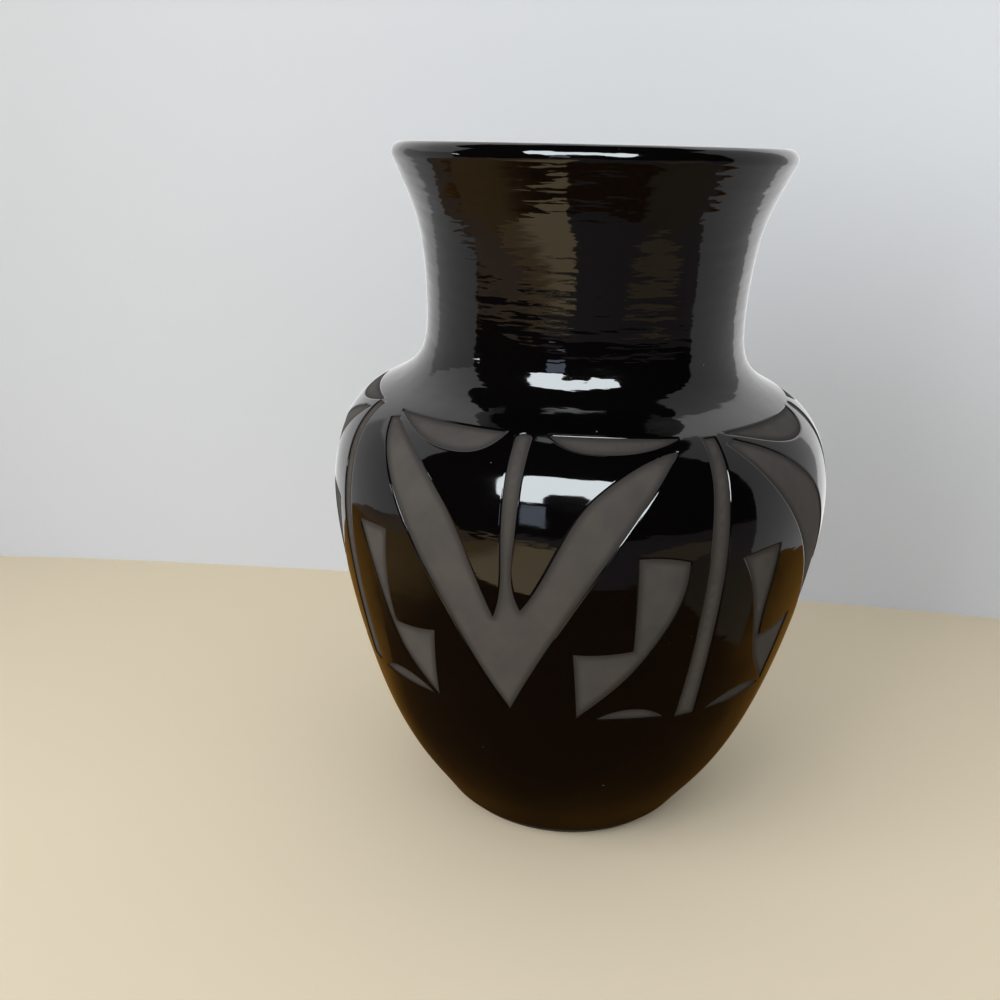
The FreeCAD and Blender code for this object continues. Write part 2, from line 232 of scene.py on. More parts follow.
def makeCard():
    plan = bpy.data.curves.new("card", "CURVE")
    plan.dimensions = "3D"
    spline = plan.splines.new("NURBS")
    spline.points.add(len(whiteCard["plan"]) - 1)
    for point, (x, y) in zip(spline.points, whiteCard["plan"]):
        point.co = (x * mm, y * mm, 0, 1)
    spline.order_u = 3
    spline.use_endpoint_u = True
    plan.resolution_u = whiteCard["steps"]
    card = bpy.data.objects.new("card", plan)
    bpy.context.scene.collection.objects.link(card)
    pick([card])
    bpy.ops.object.convert(target="MESH")
    card = bpy.context.object
    bpy.ops.object.mode_set(mode="EDIT")
    bpy.ops.mesh.select_all(action="SELECT")
    bpy.ops.mesh.extrude_region_move(TRANSFORM_OT_translate={"value": (0, 0, whiteCard["height"])})
    bpy.ops.mesh.select_all(action="SELECT")
    bpy.ops.mesh.normals_make_consistent(inside=False)
    bpy.ops.object.mode_set(mode="OBJECT")
    backFace = max(card.data.polygons, key=lambda face: face.center.y)
    if backFace.normal.y > 0:  # the pale side faces the jar
        card.data.flip_normals()
    card.data.shade_smooth()
    material, tree = newMaterial("white card")
    place = splitPlace(tree, objectPlace(tree))
    spans = ("leftSpan", "rightSpan", "gainSpan")
    atLeft, atRight, rise = (ramp(tree, place["X"], whiteCard[span]) for span in spans)
    lowLeft = arithmetic(tree, "MULTIPLY", atLeft, ramp(tree, place["Z"], whiteCard["lowSpan"]))
    dimmed = arithmetic(tree, "ADD", lowLeft, atRight)
    gained = arithmetic(tree, "SUBTRACT", rise, atRight)
    lit = arithmetic(tree, "MULTIPLY_ADD", gained, whiteCard["gain"], whiteCard["glow"])
    glow = arithmetic(tree, "MULTIPLY_ADD", dimmed, -whiteCard["dim"], lit)
    mirrored = addNode(tree, "ShaderNodeEmission", inputs={"Color": (1, 1, 1, 1), "Strength": glow})
    pale = addNode(tree, "ShaderNodeBsdfDiffuse", inputs={"Color": linearColour(whiteCard["hex"])})
    path = addNode(tree, "ShaderNodeLightPath")
    front = addNode(tree, "ShaderNodeMixShader", inputs={
        0: path.outputs["Is Glossy Ray"], 1: pale.outputs[0], 2: mirrored.outputs[0]})
    clear = addNode(tree, "ShaderNodeBsdfTransparent")
    side = addNode(tree, "ShaderNodeNewGeometry")
    toSurface(tree, "ShaderNodeMixShader", {
        0: side.outputs["Backfacing"], 1: front.outputs[0], 2: clear.outputs[0]})
    card.data.materials.append(material)


makeFloor()
makeCard()
print("stage set")

# light: an even soft light, and softboxes, a dark flag and low glowing boards that only a gloss shows; the
# boards are painted light, sheets that glow as a lit table top would. All round them the eye sees the pale
# hex, a gloss the dark one
light = {
    "roomHex": "#1a1817", "fillHex": "#f4f8ff", "fill": 0.75, "seenHex": "#e8e8e6",
    "keyPlace": (-1.15, -0.85, 0.62), "keyAim": (0, 0, 90 * mm), "keySize": 1.3, "keyPower": 18.0,
    "paneAim": (0, 0, 110 * mm), "cornerSteps": 6,
    "panes": {
        "softbox": {"hex": "#eaf2f6", "glow": 21.0, "place": (-0.11, -0.95, 0.69), "size": (1.15, 0.56),
                    "corner": 0.17},
        "lowBox": {"hex": "#b9c6de", "glow": 2.8, "place": (-0.295, -0.95, 0.22), "size": (0.19, 0.25)},
        "sideLamp": {"hex": "#f4f8fa", "glow": 16.0, "place": (-0.97, -0.22, 0.19), "size": (0.09, 0.04)},
        "flag": {"hex": "#15181c", "glow": 1.0, "place": (-0.045, -0.88, 0.43), "size": (0.33, 0.20),
                 "corner": 0.08}},
    # glowing boards laid on the floor: painted light that stands in for a lit table top
    "boards": {
        "board": {"hex": "#a88c66", "glow": 1.8, "low": (-0.34, -0.50), "high": (-0.045, -0.175),
                  "lift": 1 * mm, "second": {"hex": "#e4cda2", "axis": "X", "span": (-0.24, -0.13),
                                             "rough": 0.10, "size": 0.12}},
        "strip": {"hex": "#c8b08a", "glow": 1.6, "low": (-0.46, -0.585), "high": (-0.10, -0.54),
                  "lift": 1 * mm},
        "faintBoard": {"hex": "#9c8a70", "glow": 1.15, "low": (0.20, -0.42), "high": (0.47, -0.19),
                       "lift": 1 * mm}}}


def makeRoom():
    world = bpy.data.worlds.new("room")
    bpy.context.scene.world = world
    world.use_nodes = True
    tree = world.node_tree
    tree.nodes.clear()
    path = addNode(tree, "ShaderNodeLightPath")
    fill = addNode(tree, "ShaderNodeBackground", inputs={
        "Color": linearColour(light["fillHex"]), "Strength": light["fill"]})
    room = addNode(tree, "ShaderNodeBackground", inputs={"Color": linearColour(light["roomHex"])})
    seen = addNode(tree, "ShaderNodeBackground", inputs={"Color": linearColour(light["seenHex"])})
    inGloss = addNode(tree, "ShaderNodeMixShader", inputs={
        0: path.outputs["Is Glossy Ray"], 1: fill.outputs[0], 2: room.outputs[0]})
    direct = addNode(tree, "ShaderNodeMixShader", inputs={
        0: path.outputs["Is Camera Ray"], 1: inGloss.outputs[0], 2: seen.outputs[0]})
    addNode(tree, "ShaderNodeOutputWorld", inputs={"Surface": direct.outputs[0]})


def makeKey():
    data = bpy.data.lights.new("key", "AREA")
    data.size = light["keySize"]
    data.energy = light["keyPower"]
    key = bpy.data.objects.new("key", data)
    bpy.context.scene.collection.objects.link(key)
    place = Vector(light["keyPlace"])
    key.location = place
    key.rotation_mode = "QUATERNION"
    key.rotation_quaternion = (place - Vector(light["keyAim"])).to_track_quat("Z", "Y")
    key.visible_glossy = False


def makePane(name, look):
    # an upright sheet that faces the jar, its corners rounded if it has any roundness
    wide, tall = look["size"]
    sheet = stagePlane(name, {**look, "low": (-wide / 2, -tall / 2), "high": (wide / 2, tall / 2)})
    if "corner" in look:
        bpy.ops.object.mode_set(mode="EDIT")
        bpy.ops.mesh.select_all(action="SELECT")
        bpy.ops.mesh.bevel(offset=look["corner"], segments=light["cornerSteps"], affect="VERTICES")
        bpy.ops.object.mode_set(mode="OBJECT")
    facing = (Vector(light["paneAim"]) - Vector(look["place"])).to_track_quat("Z", "Y")
    sheet.data.transform(Matrix.Translation(look["place"]) @ facing.to_matrix().to_4x4())
    onlyInGloss(sheet)


makeRoom()
makeKey()
for name, look in light["panes"].items():
    makePane(name, look)
for name, look in light["boards"].items():
    onlyInGloss(stagePlane(name, look))
print("light set")

# burnished coat: black slip rubbed with a stone and fired in smoke; a near-black mirror with level rub
# marks that are stronger up the neck, a slow unevenness from the hand, and a few specks of dust
burnished = {"hex": "#050404", "smooth": 0.035, "rough": 0.085, "roughSpan": (0.35, 0.75), "ior": 1.47,
             "rubLength": 13 * mm, "rubHeight": 2.6 * mm, "rubDepth": 0.050 * mm, "rubDetail": 2.5,
             "rubGrain": 0.45, "neckRub": 4.5, "neckSpan": (112 * mm, 128 * mm),
             "waveSize": 11 * mm, "waveDepth": 0.13 * mm, "waveDetail": 1.0,
             "dustHex": "#74726f", "dustSpacing": 6.0 * mm, "dustSize": 0.13 * mm, "dustFade": 1.6,
             "dustMissing": 0.6}


def makeBurnished():
    material, tree = newMaterial("stone-burnished black slip")
    place = objectPlace(tree)
    onNeck = ramp(tree, splitPlace(tree, place)["Z"], burnished["neckSpan"], (1.0, burnished["neckRub"]),
                  "SMOOTHSTEP")
    marks = levelMarks(tree, place, burnished["rubLength"], burnished["rubHeight"],
                       burnished["rubDetail"], burnished["rubGrain"])
    waves = noise(tree, place, burnished["waveSize"], burnished["waveDetail"])
    uneven = bumps(tree, waves, burnished["waveDepth"])
    bump = bumps(tree, arithmetic(tree, "MULTIPLY", marks, onNeck), burnished["rubDepth"], uneven)
    gloss = ramp(tree, marks, burnished["roughSpan"], (burnished["smooth"], burnished["rough"]))
    cells = addNode(tree, "ShaderNodeTexVoronoi", inputs={
        "Vector": place, "Scale": 1 / burnished["dustSpacing"], "Randomness": 1.0})
    size = burnished["dustSize"] / burnished["dustSpacing"]
    speck = ramp(tree, cells.outputs["Distance"], (size, burnished["dustFade"] * size), (1.0, 0.0))
    chance = addNode(tree, "ShaderNodeSeparateColor", inputs={"Color": cells.outputs["Color"]}).outputs[0]
    some = arithmetic(tree, "GREATER_THAN", chance, burnished["dustMissing"])
    dust = arithmetic(tree, "MULTIPLY", speck, some)
    colour = blend(tree, dust, linearColour(burnished["hex"]), linearColour(burnished["dustHex"]))
    toSurface(tree, "ShaderNodeBsdfPrincipled", {
        "Base Color": colour, "Roughness": gloss, "IOR": burnished["ior"], "Normal": bump})
    return material


# matte slip: a thin wash of iron slip left unpolished; charcoal grey and chalky, darker near a motif's edge
# and lighter in its middle
matteSlip = {"edgeHex": "#34312f", "middleHex": "#454240", "paleHex": "#4d4945", "rough": 0.7, "sheen": 0.05,
             "edgeSpan": (0.0, 2.0), "cloudSize": 9 * mm, "cloudDetail": 3.0, "cloudSpan": (0.35, 0.65),
             "grainSize": 0.45 * mm, "grainDetail": 2.0, "grainDepth": 0.012 * mm}


def makeMatteSlip():
    material, tree = newMaterial("matte slip wash")
    place = objectPlace(tree)
    inward = addNode(tree, "ShaderNodeAttribute", {"attribute_name": "edgeDistance"}).outputs["Fac"]
    middle = ramp(tree, inward, matteSlip["edgeSpan"], kind="SMOOTHSTEP")
    clouds = noise(tree, place, matteSlip["cloudSize"], matteSlip["cloudDetail"])
    cloudy = ramp(tree, clouds, matteSlip["cloudSpan"])
    body = blend(tree, cloudy, linearColour(matteSlip["middleHex"]), linearColour(matteSlip["paleHex"]))
    colour = blend(tree, middle, linearColour(matteSlip["edgeHex"]), body)
    grain = noise(tree, place, matteSlip["grainSize"], matteSlip["grainDetail"])
    toSurface(tree, "ShaderNodeBsdfPrincipled", {
        "Base Color": colour, "Roughness": matteSlip["rough"], "Specular IOR Level": matteSlip["sheen"],
        "Normal": bumps(tree, grain, matteSlip["grainDepth"])})
    return material


# bare clay: smoke-fired black body, scraped level by level but not burnished; dull, with fine tool lines
bareClay = {"hex": "#1d1a18", "paleHex": "#2e2a27", "rough": 0.78, "cloudSize": 12 * mm, "cloudDetail": 4.0,
            "scrapeLength": 22 * mm, "scrapeHeight": 0.9 * mm, "scrapeDepth": 0.10 * mm, "scrapeDetail": 4.0,
            "scrapeGrain": 0.6}


def makeBareClay():
    material, tree = newMaterial("smoke-fired bare clay")
    place = objectPlace(tree)
    lines = levelMarks(tree, place, bareClay["scrapeLength"], bareClay["scrapeHeight"],
                       bareClay["scrapeDetail"], bareClay["scrapeGrain"])
    clouds = noise(tree, place, bareClay["cloudSize"], bareClay["cloudDetail"])
    colour = blend(tree, clouds, linearColour(bareClay["hex"]), linearColour(bareClay["paleHex"]))
    toSurface(tree, "ShaderNodeBsdfPrincipled", {
        "Base Color": colour, "Roughness": bareClay["rough"],
        "Normal": bumps(tree, lines, bareClay["scrapeDepth"])})
    return material


# the jar's own line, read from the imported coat: up the outside, over the lip, a little way down inside
jar = {"lipRound": 2.63 * mm, "lipLean": 26.0, "lipSteps": 42, "lipClear": 0.5 * mm,
       "insideEnd": 158.0 * mm, "step": 0.2 * mm, "turn": 192}
# what the reading takes for the coat's face: how far a normal leans, twists and keeps its length, how far
# apart the rows are, and how deep a face may lie behind the outermost one near its height
reading = {"lean": 0.3, "twist": 1e-3, "length": 0.999, "rowGap": 0.8 * mm, "near": 1.5 * mm,
           "depth": 2.6 * mm, "slack": 0.1 * mm}


def surfaceRows(node, side):
    # heights, radii and slopes of the coat's own vertices on its outer (1) or inner (-1) face
    mesh = node.data
    place = np.empty(len(mesh.vertices) * 3)
    mesh.vertices.foreach_get("co", place)
    corner = np.empty(len(mesh.loops), int)
    mesh.loops.foreach_get("vertex_index", corner)
    normal = np.empty(len(mesh.loops) * 3)
    mesh.corner_normals.foreach_get("vector", normal)
    place, normal = place.reshape(-1, 3)[corner], normal.reshape(-1, 3)
    radius = np.hypot(place[:, 0], place[:, 1])
    outward = (normal[:, :2] * place[:, :2]).sum(1) / radius
    around = (normal[:, 1] * place[:, 0] - normal[:, 0] * place[:, 1]) / radius
    good = (outward * side > reading["lean"]) & (np.abs(around) < reading["twist"])
    good &= np.hypot(outward, normal[:, 2]) > reading["length"]
    if side < 0:
        good &= place[:, 2] > jar["insideEnd"] - reading["slack"]
    rows = np.column_stack((place[good, 2], radius[good], -normal[good, 2] / outward[good]))
    rows = rows[np.argsort(rows[:, 0])]
    kept = []
    for row in rows:
        if kept and row[0] - kept[-1][0] < reading["rowGap"]:
            continue
        near = rows[np.abs(rows[:, 0] - row[0]) < reading["near"]]
        edge = near[:, 1].max() if side > 0 else near[:, 1].min()
        if abs(row[1] - edge) < reading["depth"]:
            kept.append(row)
    return np.array(kept)


def throughRows(rows, heights):
    # radius and slope at each height, on a cubic through the rows with the rows' own slopes
    at = np.clip(np.searchsorted(rows[:, 0], heights) - 1, 0, len(rows) - 2)
    span = rows[at + 1, 0] - rows[at, 0]
    t = (heights - rows[at, 0]) / span
    r0, r1, m0, m1 = rows[at, 1], rows[at + 1, 1], rows[at, 2] * span, rows[at + 1, 2] * span
    radius = ((2 * t ** 3 - 3 * t ** 2 + 1) * r0 + (t ** 3 - 2 * t ** 2 + t) * m0
              + (3 * t ** 2 - 2 * t ** 3) * r1 + (t ** 3 - t ** 2) * m1)
    slope = ((6 * t ** 2 - 6 * t) * (r0 - r1) + (3 * t ** 2 - 4 * t + 1) * m0
             + (3 * t ** 2 - 2 * t) * m1) / span
    return radius, slope


def wallLine(rows, start, end, side):
    # radius, height and outward way at even steps from one height to the other
    heights = np.linspace(start, end, int(abs(end - start) / jar["step"]))
    radius, slope = throughRows(rows, heights)
    length = np.hypot(1, slope)
    return np.column_stack((radius, heights, side / length, -side * slope / length))


def readOutline(node):
    outer, inner = surfaceRows(node, 1), surfaceRows(node, -1)
    lipRound, lean, clear = jar["lipRound"], math.radians(jar["lipLean"]), jar["lipClear"]
    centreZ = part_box("gloss_coat")[1].z - lipRound
    lipStart, insideTop = centreZ - lipRound * math.sin(lean), centreZ + lipRound * math.sin(lean)
    lastRow = outer[outer[:, 0] < lipStart][-1]
    startR = lastRow[1] + math.tan(lean) * (lipStart - lastRow[0])
    centreR = startR - lipRound * math.cos(lean)
    insideR = centreR - lipRound * math.cos(lean)
    outer = np.vstack((outer[outer[:, 0] < lipStart - clear], (lipStart, startR, math.tan(lean))))
    inner = np.vstack((inner[inner[:, 0] < insideTop - clear], (insideTop, insideR, math.tan(lean))))
    up = wallLine(outer, outer[0, 0], lipStart, 1)
    angle = np.linspace(-lean, math.pi - lean, jar["lipSteps"])[1:-1]
    over = np.column_stack((centreR + lipRound * np.cos(angle), centreZ + lipRound * np.sin(angle),
                            np.cos(angle), np.sin(angle)))
    down = wallLine(inner, insideTop, inner[0, 0], -1)
    line = np.vstack((up, over, down))
    along = np.concatenate(([0], np.cumsum(np.hypot(*np.diff(line[:, :2], axis=0).T))))
    return {"along": along, "line": line, "outside": len(up)}


outline = readOutline(nodes["gloss_coat"])
print("outline read:", len(outline["along"]), "steps,", round(outline["along"][-1] / mm, 1), "mm long")


def onOutline(along):
    return [np.interp(along, outline["along"], outline["line"][:, k]) for k in range(4)]


def onJar(angle, along, depth):
    # a place on the jar: the angle round it, the way along its line, and how deep under its finished face
    r, z, nr, nz = onOutline(along)
    length = np.hypot(nr, nz)
    r, z = r - depth * nr / length, z - depth * nz / length
    return np.column_stack((r * np.cos(angle), r * np.sin(angle), z))


def alongNear(r, z):
    # the nearest place on the jar's line to each point of a half plane
    line, found = outline["line"][:outline["outside"]], []
    for a, b in zip(r, z):
        i = int(np.argmin((line[:, 0] - a) ** 2 + (line[:, 1] - b) ** 2))
        slip = (b - line[i, 1]) * line[i, 2] - (a - line[i, 0]) * line[i, 3]
        found.append(outline["along"][i] + slip)
    return np.array(found)


# ornament: the matte motifs' outlines, laid out flat as the angle round the jar and the way along its line
layout = {"flatRadius": 62.0 * mm, "seam": 118.3, "bandBottom": 47.0 * mm, "bandTop": 121.0 * mm,
          "facing": 0.6, "cornerAngle": 5, "leastStep": 0.02 * mm, "outlineStep": 1.1 * mm, "fanAngle": 30,
          "edgeStep": 0.05 * mm, "bluntest": 0.2,
          "grid": 1.75 * mm, "rowShare": 0.866, "ringShare": 0.93, "ringClear": 0.6 * mm,
          "sideClear": 0.9 * mm, "levelClear": 0.8 * mm, "seamClear": 0.4 * mm,
          "skin": 0.5 * mm, "backShare": 0.76, "stitch": 0.02 * mm,
          "roundRings": (0.10 * mm, 0.27 * mm, 0.52 * mm), "roundDrop": 0.20 * mm, "steepest": 0.6,
          "slipRings": (0.4 * mm, 1.1 * mm), "slipDepth": 0.28 * mm, "slipCrown": 0.05 * mm,
          "slipCrownWidth": 1.6 * mm,
          "cadWeld": 0.0001 * mm, "spinWeld": 0.002 * mm, "joinWeld": 0.004 * mm}
seam = math.radians(layout["seam"])
flatWidth = 2 * math.pi * layout["flatRadius"]
motifNames = [part["node"] for part in frame["record"]["subparts"] if part["material_slot"] == "matte_slip"]


def facesOut(face):
    # true for a face that lies along the jar's own line, not for an edge wall or a back
    middle = face.calc_center_median()
    s = alongNear([math.hypot(middle.x, middle.y)], [middle.z])
    _, _, nr, nz = (value.item() for value in onOutline(s))
    level = Vector((middle.x, middle.y, 0)).normalized() * nr + Vector((0, 0, nz))
    return face.normal.dot(level) > layout["facing"]


def motifOutline(node):
    # the closed edge of a motif's outer face, as flat points
    copy = bmesh.new()
    copy.from_mesh(node.data)
    bmesh.ops.remove_doubles(copy, verts=copy.verts, dist=layout["cadWeld"])
    copy.normal_update()
    facing = {face for face in copy.faces if facesOut(face)}
    steps = {}
    for face in copy.faces:
        if face not in facing:
            continue
        for loop in face.loops:
            if not any(other in facing for other in loop.edge.link_faces if other is not face):
                steps.setdefault(loop.vert, []).append(loop.link_loop_next.vert)
    best = []
    while steps:
        start = here = next(iter(steps))
        ring = []
        while here in steps:
            ring.append(here.co.copy())
            after = steps[here].pop()
            if not steps[here]:
                del steps[here]
            here = after
            if here is start:
                break
        if len(ring) > len(best):
            best = ring
    copy.free()
    points = np.array(best)
    angle = np.mod(np.arctan2(points[:, 1], points[:, 0]) - seam, 2 * math.pi)
    along = alongNear(np.hypot(points[:, 0], points[:, 1]), points[:, 2])
    return np.column_stack((angle * layout["flatRadius"], along))


def resampled(ring):
    # even steps between true corners, which stay
    ring = ring[np.hypot(*(ring - np.roll(ring, 1, 0)).T) > layout["leastStep"]]
    before, after = ring - np.roll(ring, 1, 0), np.roll(ring, -1, 0) - ring
    turn = np.degrees(np.arctan2(before[:, 0] * after[:, 1] - before[:, 1] * after[:, 0],
                                 (before * after).sum(1)))
    corners = list(np.flatnonzero(np.abs(turn) > layout["cornerAngle"])) or [0]
    points = []
    for first, last in zip(corners, corners[1:] + [corners[0] + len(ring)]):
        run = ring[np.arange(first, last + 1) % len(ring)]
        length = np.concatenate(([0], np.cumsum(np.hypot(*np.diff(run, axis=0).T))))
        count = max(1, round(length[-1] / layout["outlineStep"]))
        at = np.linspace(0, length[-1], count + 1)[:-1]
        points.append(np.column_stack((np.interp(at, length, run[:, 0]), np.interp(at, length, run[:, 1]))))
    return np.vstack(points)


def handOf(ring):
    # 1 for an outline that runs anticlockwise, -1 for the other way
    after = np.roll(ring, -1, 0)
    return 1 if (ring[:, 0] * after[:, 1] - ring[:, 1] * after[:, 0]).sum() > 0 else -1


def ringPoints(ring, offset):
    # points at an even distance beside an outline; offset is positive outside it
    before, after = ring - np.roll(ring, 1, 0), np.roll(ring, -1, 0) - ring
    side = handOf(ring)
    points = []
    for point, a, b in zip(ring, before, after):
        na = np.array((a[1], -a[0])) / np.hypot(*a) * side
        nb = np.array((b[1], -b[0])) / np.hypot(*b) * side
        turn = math.acos(max(-1, min(1, float(na @ nb))))
        opens = (a[0] * b[1] - a[1] * b[0]) * side * offset > 0
        count = max(1, int(math.degrees(turn) / layout["fanAngle"])) if opens else 1
        for k in range(count):
            t = (k + 1) / (count + 1)
            way = na * (1 - t) + nb * t
            points.append(point + way / max(np.hypot(*way), touching) * offset)
    return np.array(points)


def inside(points, ring):
    hit = np.zeros(len(points), bool)
    low, high = ring.min(0), ring.max(0)
    near = np.flatnonzero(((points > low) & (points < high)).all(1))
    x, y = points[near].T
    odd = np.zeros(len(near), bool)
    for (x0, y0), (x1, y1) in zip(ring, np.roll(ring, -1, 0)):
        if y0 != y1:
            cross = (y0 > y) != (y1 > y)
            odd ^= cross & (x < (x1 - x0) * (y - y0) / (y1 - y0) + x0)
    hit[near] = odd
    return hit


def edgeSamples():
    # points close together on every outline, and the way out of the motif at each
    places, ways = [], []
    for ring in rings.values():
        after = np.roll(ring, -1, 0) - ring
        level = np.column_stack((after[:, 1], -after[:, 0])) / np.hypot(*after.T)[:, None] * handOf(ring)
        corner = level + np.roll(level, 1, 0)
        corner /= np.maximum(np.hypot(*corner.T), layout["bluntest"])[:, None]
        for a, b, onSide, atCorner in zip(ring, np.roll(ring, -1, 0), level, corner):
            steps = max(1, int(np.hypot(*(b - a)) / layout["edgeStep"]))
            places.append(a + (b - a) * np.linspace(0, 1, steps, endpoint=False)[:, None])
            ways += [atCorner] + [onSide] * (steps - 1)
    return np.vstack(places), ways


def treeOf(points):
    tree = kdtree.KDTree(len(points))
    for i, point in enumerate(points):
        tree.insert((point[0], point[1], 0), i)
    tree.balance()
    return tree


rings = {name: resampled(motifOutline(nodes[name])) for name in motifNames}
edgePlaces, edgeWays = edgeSamples()
edgeTree = treeOf(edgePlaces)


def edgeDistance(points):
    # how far each flat point is from the nearest outline
    return np.array([edgeTree.find((x, y, 0))[2] for x, y in points])


def flatMesh():
    # one net of triangles over the band, with every motif's outline in it
    heights = outline["line"][:outline["outside"], 1]
    bottom, top = np.interp([layout["bandBottom"], layout["bandTop"]], heights,
                            outline["along"][:outline["outside"]])
    points, edges = [], []
    for ring in rings.values():
        first = len(points)
        points += list(ring)
        edges += [(first + i, first + (i + 1) % len(ring)) for i in range(len(ring))]
    for level in (bottom, top):
        points += [(flatWidth * k / jar["turn"], level) for k in range(jar["turn"] + 1)]
    rows = round((top - bottom) / layout["grid"])
    for k in range(1, rows):
        points += [(x, bottom + (top - bottom) * k / rows) for x in (0, flatWidth)]
    loose = []
    for ring in rings.values():
        for offset in (*layout["roundRings"], *(-gap for gap in layout["slipRings"])):
            extra = ringPoints(ring, offset)
            loose.append(extra[edgeDistance(extra) > layout["ringShare"] * abs(offset)])
    grid = []
    lines = round((top - bottom) / (layout["grid"] * layout["rowShare"]))
    columns = round(flatWidth / layout["grid"])
    for j in range(1, lines):
        shift, level = 0.5 if j % 2 else 0, bottom + (top - bottom) * j / lines
        grid += [((i + shift) * flatWidth / columns, level) for i in range(columns)]
    grid = np.array(grid)
    clear = edgeDistance(grid) > layout["roundRings"][-1] + layout["ringClear"]
    clear &= (grid[:, 0] > layout["sideClear"]) & (grid[:, 0] < flatWidth - layout["sideClear"])
    clear &= (grid[:, 1] > bottom + layout["levelClear"]) & (grid[:, 1] < top - layout["levelClear"])
    loose = np.vstack((*loose, grid[clear]))
    loose = loose[(loose[:, 0] > layout["seamClear"]) & (loose[:, 0] < flatWidth - layout["seamClear"])]
    places = [Vector((x / mm, y / mm)) for x, y in (*points, *loose)]
    net = delaunay_2d_cdt(places, edges, [], 0, touching / mm)
    return np.array([(v.x * mm, v.y * mm) for v in net[0]]), np.array(net[2]), bottom, top


flat, triangles, bandBottom, bandTop = flatMesh()
centres = flat[triangles].mean(1)
owner = np.full(len(triangles), -1)
for k, name in enumerate(motifNames):
    owner[inside(centres, rings[name])] = k
far = edgeDistance(flat)
print("band laid out:", len(flat), "points,", len(triangles), "triangles")


def raisedPiece(name, chosen, depth):
    # a thin solid skin over the chosen triangles; depth is its face's depth at each flat point
    used = np.unique(triangles[chosen])
    number = np.full(len(flat), -1)
    number[used] = np.arange(len(used))
    angle = flat[used, 0] / layout["flatRadius"] + seam
    front = onJar(angle, flat[used, 1], depth[used])
    back = onJar(angle, flat[used, 1], np.full(len(used), layout["skin"]))
    faces = number[triangles[chosen]]
    p = flat[triangles[chosen]]
    wrong = np.cross(p[:, 1] - p[:, 0], p[:, 2] - p[:, 0]) < 0
    faces[wrong] = faces[wrong][:, ::-1]
    count = len(used)
    single = {}
    for a, b, c in faces:
        for pair in ((a, b), (b, c), (c, a)):
            if (pair[1], pair[0]) in single:
                del single[pair[1], pair[0]]
            else:
                single[pair] = True
    onLevel = (np.abs(flat[used, 1] - bandBottom) < touching) | (np.abs(flat[used, 1] - bandTop) < touching)
    onSeam = (flat[used, 0] < touching) | (flat[used, 0] > flatWidth - touching)
    walls = [(b, a, a + count, b + count) for a, b in single
             if not (onLevel[a] and onLevel[b]) and not (onSeam[a] and onSeam[b])]
    faces = faces.tolist()
    backFaces = [(c + count, b + count, a + count) for a, b, c in faces]
    mesh = bpy.data.meshes.new(name)
    mesh.from_pydata(np.vstack((front, back)).tolist(), [], faces + backFaces + walls)
    mesh.update()
    piece = bpy.data.objects.new(name, mesh)
    bpy.context.scene.collection.objects.link(piece)
    distance = mesh.attributes.new("edgeDistance", "FLOAT", "POINT")
    distance.data.foreach_set("value", np.concatenate((far[used], far[used])) / mm)
    return piece


reach = layout["roundRings"][-1]


def roundedDepth(gap):
    # how deep the coat's face lies, this far from a window's edge or from the coat's own end
    near = np.clip(1 - gap / reach, 0, 1)
    return layout["roundDrop"] * (1 - np.sqrt(np.clip(1 - near ** 2, 0, 1)))


def crownedDepth(gap):
    # how deep a motif's face lies, this far from its edge
    near = np.clip(1 - gap / layout["slipCrownWidth"], 0, 1)
    return layout["slipDepth"] - layout["slipCrown"] * (1 - near ** 2)


def roundedSlope(gap):
    near = min(1, max(0, 1 - gap / reach))
    return layout["roundDrop"] / reach * near / max(layout["steepest"], math.sqrt(1 - near * near))


def crownedSlope(gap):
    near = max(0, 1 - gap / layout["slipCrownWidth"])
    return 2 * layout["slipCrown"] * near / layout["slipCrownWidth"]


def spunPart(name, along):
    # the coat's profile between two places along the line, front and back, turned once round
    angle = np.full(len(along), seam)
    ends = np.minimum(along - outline["along"][0], outline["along"][-1] - along)
    front = onJar(angle, along, roundedDepth(ends))
    back = onJar(angle, along, np.full(len(along), layout["skin"]))
    atFoot = along[0] - outline["along"][0] < touching
    line = np.vstack((front[::-1], back) if atFoot else (front, back[::-1]))  # open where it meets the band
    mesh = bpy.data.meshes.new(name)
    mesh.from_pydata(line.tolist(), [(i, i + 1) for i in range(len(line) - 1)], [])
    part = bpy.data.objects.new(name, mesh)
    bpy.context.scene.collection.objects.link(part)
    pick([part])
    bpy.ops.object.mode_set(mode="EDIT")
    bpy.ops.mesh.select_all(action="SELECT")
    bpy.ops.mesh.spin(steps=jar["turn"], angle=2 * math.pi, center=(0, 0, 0), axis=(0, 0, 1))
    bpy.ops.mesh.select_all(action="SELECT")
    bpy.ops.mesh.remove_doubles(threshold=layout["spinWeld"])
    bpy.ops.object.mode_set(mode="OBJECT")
    return part


def between(low, high, step):
    return np.linspace(low, high, max(2, round((high - low) / step) + 1))


# coat: how close together its rings are on the foot, the neck and the lip, and where its plain ends begin
coatRings = {"foot": 2.2 * mm, "neck": 1.9 * mm, "lip": 0.55 * mm, "end": 2 * mm}


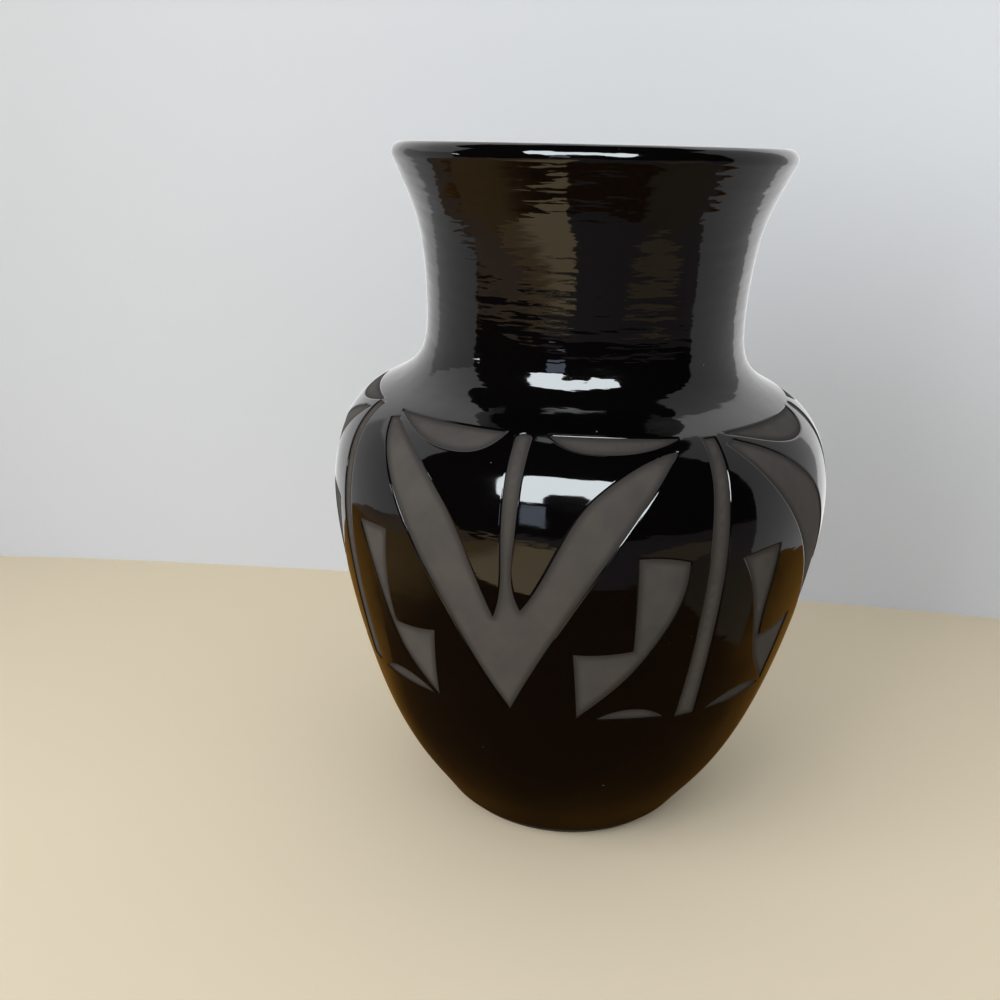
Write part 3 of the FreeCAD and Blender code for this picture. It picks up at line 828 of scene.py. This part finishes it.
def makeCoat():
    start, end = outline["along"][0], outline["along"][-1]
    lipLow = outline["along"][outline["outside"] - 1]
    lipHigh = lipLow + math.pi * jar["lipRound"]
    edge = np.array((0, *layout["roundRings"]))
    foot = np.concatenate((start + edge, between(start + coatRings["end"], bandBottom, coatRings["foot"])))
    neck = np.concatenate((between(bandTop, lipLow, coatRings["neck"]),
                           between(lipLow, lipHigh, coatRings["lip"])[1:],
                           between(lipHigh, end - coatRings["end"], coatRings["neck"])[1:],
                           (end - edge)[::-1]))
    band = raisedPiece("burnishedCoat", np.flatnonzero(owner < 0), roundedDepth(far))
    pick([band, spunPart("coatFoot", foot), spunPart("coatNeck", neck)])
    bpy.ops.object.join()
    bpy.ops.object.mode_set(mode="EDIT")
    bpy.ops.mesh.select_all(action="SELECT")
    bpy.ops.mesh.remove_doubles(threshold=layout["joinWeld"])
    bpy.ops.mesh.normals_make_consistent(inside=False)
    bpy.ops.object.mode_set(mode="OBJECT")
    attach(band, "root")
    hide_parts("gloss_coat")
    return band


def meshFacts(piece):
    # how many edges are open, and the volume in cubic millimetres
    check = bmesh.new()
    check.from_mesh(piece.data)
    openEdges = sum(1 for edge in check.edges if len(edge.link_faces) != 2)
    volume = check.calc_volume() / mm ** 3
    check.free()
    return openEdges, volume


coat = makeCoat()
openEdges, volume = meshFacts(coat)
print("coat:", len(coat.data.polygons), "faces, open edges", openEdges, "volume mm3", round(volume, 1))

lineTree = treeOf(outline["line"])


def trueFace(x, y, z, coatFace):
    # the normal of the true curved face near a vertex, and how deep the vertex lies under that face
    radius = math.hypot(x, y)
    _, k, _ = lineTree.find((radius, z, 0))
    r0, z0, nr, nz = outline["line"][k]
    along = outline["along"][k] + (z - z0) * nr - (radius - r0) * nz
    nr, nz = onOutline(along)[2:]
    under = (r0 - radius) * nr + (z0 - z) * nz
    turned = math.atan2(y, x)
    ahead = np.array((-nz * math.cos(turned), -nz * math.sin(turned), nr))
    level = np.array((nr * math.cos(turned), nr * math.sin(turned), nz))
    lean = np.zeros(3)
    if bandBottom < along < bandTop:
        flatX = (turned - seam) % (2 * math.pi) * layout["flatRadius"]
        nearest, sample, gap = edgeTree.find((flatX, along, 0))
        if gap > layout["stitch"]:
            way = (flatX - nearest.x) / gap, (along - nearest.y) / gap
        else:
            way = edgeWays[sample] * (1 if coatFace else -1)
        around = np.array((-math.sin(turned), math.cos(turned), 0))
        away = way[0] * layout["flatRadius"] / radius * around + way[1] * ahead
        lean = away * (roundedSlope(gap) if coatFace else crownedSlope(gap))
    elif coatFace:
        lean = ahead * (roundedSlope(along - outline["along"][0]) - roundedSlope(outline["along"][-1] - along))
    return level - lean, under


def laySmoothLight(piece, coatFace):
    # every outer corner gets the true face's normal, so the mirror finish shows no net of triangles
    mesh = piece.data
    mesh.shade_smooth()
    place = np.empty(len(mesh.vertices) * 3)
    mesh.vertices.foreach_get("co", place)
    normals, front = [], []
    for x, y, z in place.reshape(-1, 3):
        normal, under = trueFace(x, y, z, coatFace)
        normals.append(tuple(normal / np.linalg.norm(normal)))
        front.append(under < layout["backShare"] * layout["skin"])
    corners = []
    for face in mesh.polygons:
        whole = all(front[v] for v in face.vertices)
        corners += [normals[v] if whole else tuple(face.normal) for v in face.vertices]
    mesh.normals_split_custom_set(corners)


laySmoothLight(coat, True)
print("coat smoothed")
slipPieces = []
for k, name in enumerate(motifNames):
    first, *others = name.split("_")
    piece = raisedPiece(first + "".join(word.title() for word in others), np.flatnonzero(owner == k),
                        crownedDepth(far))
    laySmoothLight(piece, False)
    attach(piece, "root")
    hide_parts(name)
    slipPieces.append(piece)
    openEdges, volume = meshFacts(piece)
    if openEdges or volume < 0:
        print("  ", piece.name, "open edges", openEdges, "volume", volume)
print("motifs laid:", len(slipPieces), "pieces,",
      sum(len(piece.data.polygons) for piece in slipPieces), "faces")

finishes = {"burnished_black": makeBurnished(), "matte_slip": makeMatteSlip(), "black_clay": makeBareClay()}
slots = {part["node"]: part["material_slot"] for part in frame["record"]["subparts"]}
for name, node in nodes.items():
    for materialSlot in node.material_slots:
        materialSlot.material = finishes[slots[name]]
coat.data.materials.append(finishes["burnished_black"])
for piece in slipPieces:
    piece.data.materials.append(finishes["matte_slip"])
print("finishes laid on")

bpy.context.scene.view_settings.view_transform = "Standard"
